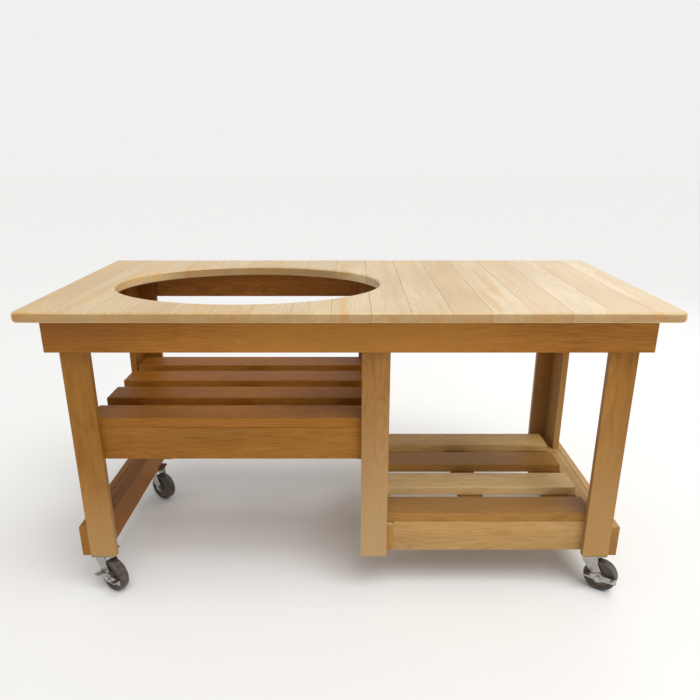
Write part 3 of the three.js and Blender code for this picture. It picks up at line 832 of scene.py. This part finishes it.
@dataclass(frozen=True)
class WheelFinish:
    """Solid caster wheel: a dusty grey-brown tread round a paler moulded core."""

    name: str
    tread: Colour = (0.045, 0.033, 0.026)
    core: Colour = (0.085, 0.064, 0.048)
    core_rim: float = 1.2 * MM
    dust: Colour = (0.17, 0.14, 0.115)
    dust_band: Band = (0.42, 0.72)
    dust_share: float = 0.55
    core_dust_share: float = 0.35
    scuff_start: float = 4 * MM
    scuff_end: float = 12 * MM
    blotch_cloud: Cloud = Cloud(45.0, 4.0, 0.6)
    blotch_roughness: float = 0.3
    pore_cloud: Cloud = Cloud(520.0, 3.0, 0.6)
    wear_width: float = 0.9 * MM
    wear_reach: float = 0.15
    wear_share: float = 0.3
    least_roughness: float = 0.43
    bump_strength: float = 0.3
    relief: float = 0.2 * MM

    def material(self, centre: Vector, axle: Vector, core_radius: float) -> bpy.types.Material:
        """Builds the wheel's material.

        Args:
            centre: The middle of the wheel, in metres.
            axle: The axle's direction.
            core_radius: Where the core ends and the tread starts, in metres.

        Returns:
            The material.
        """
        g = Graph(self.name)
        place = g.node("ShaderNodeTexCoord").outputs["Object"]
        radius = self._radius(g, place, centre, axle)
        blotch = g.noise(place, self.blotch_cloud)
        pores = g.noise(place, self.pore_cloud)
        colour = g.mix(g.remap(radius, (core_radius, core_radius + self.core_rim)), self.core, self.tread)
        scuff = g.remap(radius, (core_radius + self.scuff_start, core_radius + self.scuff_end))
        dusty = g.remap(blotch, self.dust_band, (0.0, self.dust_share))
        dusty = g.math("MULTIPLY", dusty, g.math("ADD", self.core_dust_share, scuff))
        colour = g.mix(dusty, colour, self.dust)
        worn = g.scaled(g.edge_mask(self.wear_width, self.wear_reach), self.wear_share)
        colour = g.mix(worn, colour, self.dust)
        roughness = g.math("ADD", g.scaled(blotch, self.blotch_roughness), self.least_roughness)
        normal = g.bump(g.math("ADD", pores, blotch), self.bump_strength, self.relief)
        return g.finish(colour, roughness, normal)

    @staticmethod
    def _radius(g: Graph, place: Socket, centre: Vector, axle: Vector) -> Socket:
        """Measures how far a point lies from the axle.

        Args:
            g: The graph to add to.
            place: The shaded point.
            centre: The middle of the wheel, in metres.
            axle: The axle's direction.

        Returns:
            The distance, in metres.
        """
        out = g.node("ShaderNodeVectorMath", operation="SUBTRACT")
        g.feed(out.inputs[0], place)
        out.inputs[1].default_value = centre
        cross = g.node("ShaderNodeVectorMath", operation="CROSS_PRODUCT")
        g.feed(cross.inputs[0], out.outputs[0])
        cross.inputs[1].default_value = axle
        return g.length(cross.outputs[0])


class Surface:
    """Modifiers that soften a CAD node's shading and edges and leave its mesh as it is."""

    SHARP_ANGLE = math.radians(38)
    WELD_DISTANCE = 0.01 * MM
    EDGE_SEGMENTS = 2
    _smoother: bpy.types.NodeTree | None = None

    @classmethod
    def smoother(cls) -> bpy.types.NodeTree:
        """Makes, once, the node group that shades shallow edges smooth and keeps sharp ones.

        Returns:
            The geometry node group.
        """
        if cls._smoother:
            return cls._smoother
        tree = bpy.data.node_groups.new("shade_by_angle", "GeometryNodeTree")
        tree.interface.new_socket("Geometry", in_out="INPUT", socket_type="NodeSocketGeometry")
        tree.interface.new_socket("Geometry", in_out="OUTPUT", socket_type="NodeSocketGeometry")
        entry = tree.nodes.new("NodeGroupInput")
        leave = tree.nodes.new("NodeGroupOutput")
        faces = tree.nodes.new("GeometryNodeSetShadeSmooth")
        edges = tree.nodes.new("GeometryNodeSetShadeSmooth")
        edges.domain = "EDGE"
        angle = tree.nodes.new("GeometryNodeInputMeshEdgeAngle")
        shallow = tree.nodes.new("FunctionNodeCompare")
        shallow.operation = "LESS_THAN"
        shallow.inputs[1].default_value = cls.SHARP_ANGLE
        tree.links.new(angle.outputs[0], shallow.inputs[0])
        tree.links.new(entry.outputs[0], faces.inputs[0])
        tree.links.new(faces.outputs[0], edges.inputs[0])
        tree.links.new(shallow.outputs[0], edges.inputs["Shade Smooth"])
        tree.links.new(edges.outputs[0], leave.inputs[0])
        cls._smoother = tree
        return tree

    @classmethod
    def soften(cls, piece: bpy.types.Object, edge: float = 0.0) -> None:
        """Adds the modifiers to one piece.

        Args:
            piece: The object.
            edge: The width of the rounding on its sharp edges, in metres, or 0 for none.
        """
        weld = piece.modifiers.new("weld", "WELD")
        weld.merge_threshold = cls.WELD_DISTANCE
        if edge:
            bevel = piece.modifiers.new("edge", "BEVEL")
            bevel.width = edge
            bevel.segments = cls.EDGE_SEGMENTS
            bevel.limit_method = "ANGLE"
            bevel.angle_limit = cls.SHARP_ANGLE
            bevel.use_clamp_overlap = True
        shade = piece.modifiers.new("shade", "NODES")
        shade.node_group = cls.smoother()
        normals = piece.modifiers.new("normals", "WEIGHTED_NORMAL")
        normals.keep_sharp = True


def dress(node: str, material: bpy.types.Material, edge: float = 0.0) -> None:
    """Gives a CAD node its material and softens it.

    Args:
        node: The node's name.
        material: Its finish.
        edge: The width of the rounding on its sharp edges, in metres.
    """
    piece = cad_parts[node]
    piece.data.materials.clear()
    piece.data.materials.append(material)
    Surface.soften(piece, edge)
    LOG.info("dressed %s", node)


def middle(node: str) -> Vector:
    """Gives the middle of a CAD node's box at rest."""
    low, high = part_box(node)
    return (low + high) / 2


def rows(name: str, first: int, last: int) -> tuple[str, ...]:
    """Names the numbered boards of one kind, from the first to the last."""
    return tuple(f"{name}_{row}" for row in range(first, last + 1))


@dataclass
class Boards:
    """Single sawn boards that share a finish and a grain direction."""

    finish: WoodFinish
    lie: Lie
    nodes: tuple[str, ...]
    first_seed: int
    marks: tuple[Mark, ...] = ()
    edge: float = 0.5 * MM

    def build(self) -> None:
        """Gives each board its own figure."""
        for seed, node in enumerate(self.nodes, self.first_seed):
            wood = self.finish.material(seed, self.lie, middle(node), marks=self.marks)
            dress(node, wood, self.edge)


@dataclass
class Worktop:
    """The glued worktop: four panels of boards with a seam between each pair."""

    finish: WoodFinish = WORKTOP_WOOD
    strip: BoardStrip = BoardStrip(first_seam_x=-0.688, pitch=0.0923, ripe_boards=(-1, 2, 4, 10, 12, 14))
    panels: tuple[str, ...] = (
        "worktop_left_panel",
        "worktop_front_strip_panel",
        "worktop_rear_strip_panel",
        "worktop_right_panel",
    )
    seed: int = 0
    knot: Mark = Mark((-0.61, -0.377, 0.8), (2.2 * MM, 2.6 * MM, 4 * MM), KNOT_COLOUR, 0.9)
    streak: Mark = Mark((0.318, -0.218, 0.8), (6 * MM, 60 * MM, 6 * MM), (0.6, 0.28, 0.06), 0.5)

    def build(self) -> None:
        """Dresses the panels with one wood that changes from board to board."""
        _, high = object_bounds()
        centre = Vector((0, 0, high.z))
        marks = (self.knot, self.streak)
        wood = self.finish.material(self.seed, Lie.FLAT_ALONG_Y, centre, self.strip, marks)
        for panel in self.panels:
            dress(panel, wood)


@dataclass
class Skirt:
    """The four aprons under the worktop. The front one carries a painted pool of light in its middle and
    painted shade at its left end.
    """

    finish: WoodFinish = AMBER_WOOD
    long_seed: int = 1
    short_seed: int = 3
    # Painted light: a broad paler patch in the middle of the front apron.
    painted_light: Mark = Mark((0.03, -0.349, 0.734), (0.5, 0.3, 0.3), (0.43, 0.197, 0.036), 0.48)
    # Painted shade: a broad darker patch at the front apron's left end.
    shade: Mark = Mark((-0.74, -0.349, 0.734), (0.32, 0.3, 0.3), (0.24, 0.085, 0.012), 0.6)

    def build(self) -> None:
        """Dresses the long aprons and then the short ones."""
        aprons = ("front_apron", "rear_apron")
        marks = (self.painted_light, self.shade)
        Boards(self.finish, Lie.ON_EDGE_ALONG_X, aprons, self.long_seed, marks).build()
        Boards(self.finish, Lie.ON_EDGE_ALONG_Y, ("left_apron", "right_apron"), self.short_seed).build()


@dataclass
class Uprights:
    """The four legs and two middle posts, each a face board with a side board standing behind it."""

    legs: tuple[tuple[str, WoodFinish], ...] = (
        ("front_left_leg", LEFT_LEG_WOOD),
        ("front_right_leg", LEG_WOOD),
        # Painted shade: the rear left leg takes a darker tone.
        ("rear_left_leg", SHADED_REAR_LEG_WOOD),
        ("rear_right_leg", LEG_WOOD),
    )
    posts: tuple[str, ...] = ("front_middle_post", "rear_middle_post")
    post_finish: WoodFinish = POST_WOOD
    leg_face_seed: int = 10
    leg_side_seed: int = 14
    post_face_seed: int = 18
    post_side_seed: int = 20
    plug: Mark = Mark((0.0902, -0.3233, 0.408), (2.6 * MM, 2.6 * MM, 2.6 * MM), KNOT_COLOUR, 0.8)

    def build(self) -> None:
        """Dresses the legs and then the posts."""
        for row, (leg, finish) in enumerate(self.legs):
            self._pair((leg,), finish, self.leg_face_seed + row, self.leg_side_seed + row)
        self._pair(self.posts, self.post_finish, self.post_face_seed, self.post_side_seed, (self.plug,))

    @staticmethod
    def _pair(
        names: tuple[str, ...],
        finish: WoodFinish,
        face_seed: int,
        side_seed: int,
        marks: tuple[Mark, ...] = (),
    ) -> None:
        """Dresses the face boards and the side boards of some uprights.

        Args:
            names: The legs or posts.
            finish: Their wood.
            face_seed: The first face board's seed.
            side_seed: The first side board's seed.
            marks: Marks on the face boards.
        """
        faces = tuple(f"{name}_face_board" for name in names)
        sides = tuple(f"{name}_side_board" for name in names)
        Boards(finish, Lie.UPRIGHT_FACING_FRONT, faces, face_seed, marks).build()
        Boards(finish, Lie.UPRIGHT_FACING_SIDE, sides, side_seed).build()


@dataclass
class SideFrames:
    """The low frames at both ends, an outer and an inner rail each. The left inner rail has a knot and a
    darker tone that is painted shade.
    """

    left_outer: WoodFinish = HONEY_WOOD
    left_inner: WoodFinish = SHADED_UMBER_WOOD
    right: WoodFinish = STRAW_WOOD
    left_outer_seed: int = 40
    left_inner_seed: int = 41
    right_seed: int = 42
    knot: Mark = Mark((-0.6706, 0.038, 0.202), (4 * MM, 9 * MM, 5 * MM), KNOT_COLOUR, 0.95)

    def build(self) -> None:
        """Dresses the left rails and then the right ones."""
        lie = Lie.ON_EDGE_ALONG_Y
        Boards(self.left_outer, lie, ("left_outer_side_rail",), self.left_outer_seed).build()
        Boards(self.left_inner, lie, ("left_inner_side_rail",), self.left_inner_seed, (self.knot,)).build()
        Boards(self.right, lie, ("right_outer_side_rail", "right_inner_side_rail"), self.right_seed).build()


@dataclass
class Shelf:
    """A slatted shelf: two rails along it, slats on the rails and flat battens under the slats."""

    name: str
    rail_finish: WoodFinish
    slat_finishes: tuple[WoodFinish, ...]
    batten_count: int
    rail_seed: int
    slat_seed: int
    batten_seed: int
    batten_finish: WoodFinish = HONEY_WOOD

    def build(self) -> None:
        """Dresses the rails, the slats and the battens."""
        rails = (f"{self.name}_front_rail", f"{self.name}_rear_rail")
        Boards(self.rail_finish, Lie.ON_EDGE_ALONG_X, rails, self.rail_seed).build()
        for row, finish in enumerate(self.slat_finishes):
            slat = (f"{self.name}_slat_{row + 1}",)
            Boards(finish, Lie.FLAT_ALONG_X, slat, self.slat_seed + row).build()
        battens = rows(f"{self.name}_batten", 1, self.batten_count)
        Boards(self.batten_finish, Lie.FLAT_ALONG_Y, battens, self.batten_seed).build()


@dataclass
class GrillShelf(Shelf):
    """The high shelf that carries the grill under the oval cut-out."""

    name: str = "grill_shelf"
    rail_finish: WoodFinish = RUSSET_WOOD
    # Painted shade: the slats behind the front one take the darkest tone.
    slat_finishes: tuple[WoodFinish, ...] = (AMBER_WOOD, SHADED_UMBER_WOOD, SHADED_UMBER_WOOD, SHADED_UMBER_WOOD)
    batten_count: int = 3
    rail_seed: int = 30
    slat_seed: int = 50
    batten_seed: int = 60


@dataclass
class StorageShelf(Shelf):
    """The low shelf on the right, with a bearer beside the middle posts."""

    name: str = "storage_shelf"
    rail_finish: WoodFinish = STRAW_WOOD
    # The second slat's paler cream tone is partly its own and partly painted light, matching its lit end.
    slat_finishes: tuple[WoodFinish, ...] = (PALE_WOOD, CREAM_WOOD, PALE_WOOD, SAND_WOOD)
    batten_count: int = 2
    rail_seed: int = 32
    slat_seed: int = 54
    batten_seed: int = 63
    bearer_finish: WoodFinish = SAND_WOOD
    bearer_seed: int = 46

    def build(self) -> None:
        """Dresses the bearer and then the rest of the shelf."""
        bearer = (f"{self.name}_left_bearer",)
        Boards(self.bearer_finish, Lie.ON_EDGE_ALONG_Y, bearer, self.bearer_seed).build()
        super().build()


@dataclass
class Caster:
    """One swivel caster: plate, fork, axle bolt and wheel, and a brake lever on the front ones."""

    side: Side
    zinc: bpy.types.Material
    steel: bpy.types.Material
    yaw: float = math.radians(55)
    core_radius: float = 34 * MM
    edge: float = 0.35 * MM

    def build(self) -> None:
        """Dresses the CAD nodes."""
        name = f"{self.side.value}_caster"
        dress(f"{name}_plate", self.zinc, self.edge)
        dress(f"{name}_fork", self.zinc, self.edge)
        dress(f"{name}_axle_bolt", self.steel, self.edge)
        axle = Vector((math.cos(self.yaw), math.sin(self.yaw), 0))
        finish = WheelFinish(f"wheel_{self.side.value}")
        dress(f"{name}_wheel", finish.material(middle(f"{name}_wheel"), axle, self.core_radius))
        if self.side.braked:
            dress(f"{name}_brake_lever", self.zinc, self.edge)


@dataclass
class RunningGear:
    """The four casters, which share their two metals."""

    zinc: MetalFinish = MetalFinish("zinc_plate", bright=(0.52, 0.51, 0.47), dull=(0.25, 0.24, 0.22))
    steel: MetalFinish = MetalFinish(
        "plain_steel", bright=(0.5, 0.5, 0.5), dull=(0.3, 0.3, 0.3), least_roughness=0.28
    )

    def build(self) -> None:
        """Makes the metals once and dresses each caster."""
        zinc = self.zinc.material()
        steel = self.steel.material()
        for side in Side:
            Caster(side, zinc, steel).build()


@dataclass(frozen=True)
class SoftLight:
    """A large square light that looks at the table: its place and side in metres, its power in watts."""

    name: str
    place: Place
    size: float
    power: float
    target: Place = (0, 0, 0.45)

    def build(self) -> None:
        """Adds the light."""
        data = bpy.data.lights.new(self.name, "AREA")
        data.shape = "SQUARE"
        data.size = self.size
        data.energy = self.power
        lamp = bpy.data.objects.new(self.name, data)
        lamp.location = self.place
        lamp.rotation_mode = "QUATERNION"
        lamp.rotation_quaternion = (Vector(self.target) - Vector(self.place)).to_track_quat("-Z", "Y")
        bpy.context.scene.collection.objects.link(lamp)


@dataclass
class Studio:
    """A plain pale floor, soft light and the camera at the photograph's viewpoint."""

    focal_px: float = 687.4
    centre_row_px: float = 412.0
    sensor: float = 36.0
    eye: Place = (0.0015, -1.9314, 1.149)
    pitch: float = math.radians(21.0)
    floor_half: float = 30.0
    floor_colour: Colour = (0.86, 0.86, 0.85)
    floor_patch: Colour = (0.8, 0.8, 0.8)
    floor_patch_cloud: Cloud = Cloud(1.5)
    floor_patch_share: float = 0.06
    floor_roughness: float = 0.75
    floor_patch_roughness: float = 0.1
    floor_bump_strength: float = 0.05
    sky_colour: Colour = (1.0, 0.99, 0.975)
    horizon_band: float = 0.2
    dome_start: float = 0.6
    horizon_level: float = 0.877
    dome_level: float = 0.42
    key_power: float = 1.88
    key_spread: float = math.radians(50)
    key_from: Place = (0.28, -0.42, 1.0)
    lights: tuple[SoftLight, ...] = (
        SoftLight("fill", (2.2, -3.6, 1.9), 2.0, 14.0),
        SoftLight("side", (1.7, -1.2, 2.6), 1.6, 9.5),
        SoftLight("back", (1.9, 2.6, 2.6), 2.0, 16.0),
    )

    def build(self) -> None:
        """Makes the floor, the lights and the camera."""
        self._floor()
        self._sky()
        self._key()
        for light in self.lights:
            light.build()
        self._camera()
        LOG.info("studio ready")

    def _floor(self) -> None:
        """Makes the floor as one wide sheet."""
        half = self.floor_half
        mesh = bpy.data.meshes.new("floor")
        corners = [(-half, -half, 0), (half, -half, 0), (half, half, 0), (-half, half, 0)]
        mesh.from_pydata(corners, [], [(0, 1, 2, 3)])
        g = Graph("floor")
        place = g.node("ShaderNodeTexCoord").outputs["Object"]
        patches = g.noise(place, self.floor_patch_cloud)
        share = g.scaled(patches, self.floor_patch_share)
        colour = g.mix(share, self.floor_colour, self.floor_patch)
        roughness = g.math("ADD", g.scaled(patches, self.floor_patch_roughness), self.floor_roughness)
        mesh.materials.append(g.finish(colour, roughness, g.bump(patches, self.floor_bump_strength, MM)))
        floor = bpy.data.objects.new("floor", mesh)
        bpy.context.scene.collection.objects.link(floor)
        floor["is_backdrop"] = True

    def _sky(self) -> None:
        """Sets a pale surround that is brightest round the horizon and dimmer overhead."""
        world = bpy.data.worlds.new("studio")
        world.use_nodes = True
        tree = world.node_tree
        back = tree.nodes["Background"]
        back.inputs["Color"].default_value = (*self.sky_colour, 1.0)
        direction = tree.nodes.new("ShaderNodeTexCoord")
        parts = tree.nodes.new("ShaderNodeSeparateXYZ")
        level = tree.nodes.new("ShaderNodeMapRange")
        level.interpolation_type = "SMOOTHSTEP"
        for name, value in (
            ("From Min", self.horizon_band),
            ("From Max", self.dome_start),
            ("To Min", self.horizon_level),
            ("To Max", self.dome_level),
        ):
            level.inputs[name].default_value = value
        tree.links.new(direction.outputs["Generated"], parts.inputs[0])
        tree.links.new(parts.outputs["Z"], level.inputs["Value"])
        tree.links.new(level.outputs[0], back.inputs["Strength"])
        bpy.context.scene.world = world
        bpy.context.scene.view_settings.view_transform = "Standard"

    def _key(self) -> None:
        """Adds the broad overhead key, even over the whole floor."""
        data = bpy.data.lights.new("key", "SUN")
        data.energy = self.key_power
        data.angle = self.key_spread
        lamp = bpy.data.objects.new("key", data)
        lamp.rotation_mode = "QUATERNION"
        lamp.rotation_quaternion = (-Vector(self.key_from)).to_track_quat("-Z", "Y")
        bpy.context.scene.collection.objects.link(lamp)

    def _camera(self) -> None:
        """Sets the camera from the photograph's focal length, height and pitch."""
        data = bpy.data.cameras.new("camera")
        data.sensor_width = self.sensor
        data.lens = self.focal_px / IMAGE_SIDE_PX * self.sensor
        data.shift_y = (self.centre_row_px - IMAGE_SIDE_PX / 2) / IMAGE_SIDE_PX
        camera = bpy.data.objects.new("camera", data)
        camera.location = self.eye
        camera.rotation_euler = (math.pi / 2 - self.pitch, 0, 0)
        bpy.context.scene.collection.objects.link(camera)
        bpy.context.scene.camera = camera


def main() -> None:
    """Builds the table's looks, sub-assembly by sub-assembly, and the studio."""
    logging.basicConfig(level=logging.INFO, format="%(message)s")
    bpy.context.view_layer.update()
    Worktop().build()
    Skirt().build()
    Uprights().build()
    SideFrames().build()
    GrillShelf().build()
    StorageShelf().build()
    RunningGear().build()
    Studio().build()


if __name__ == "__main__":
    main()
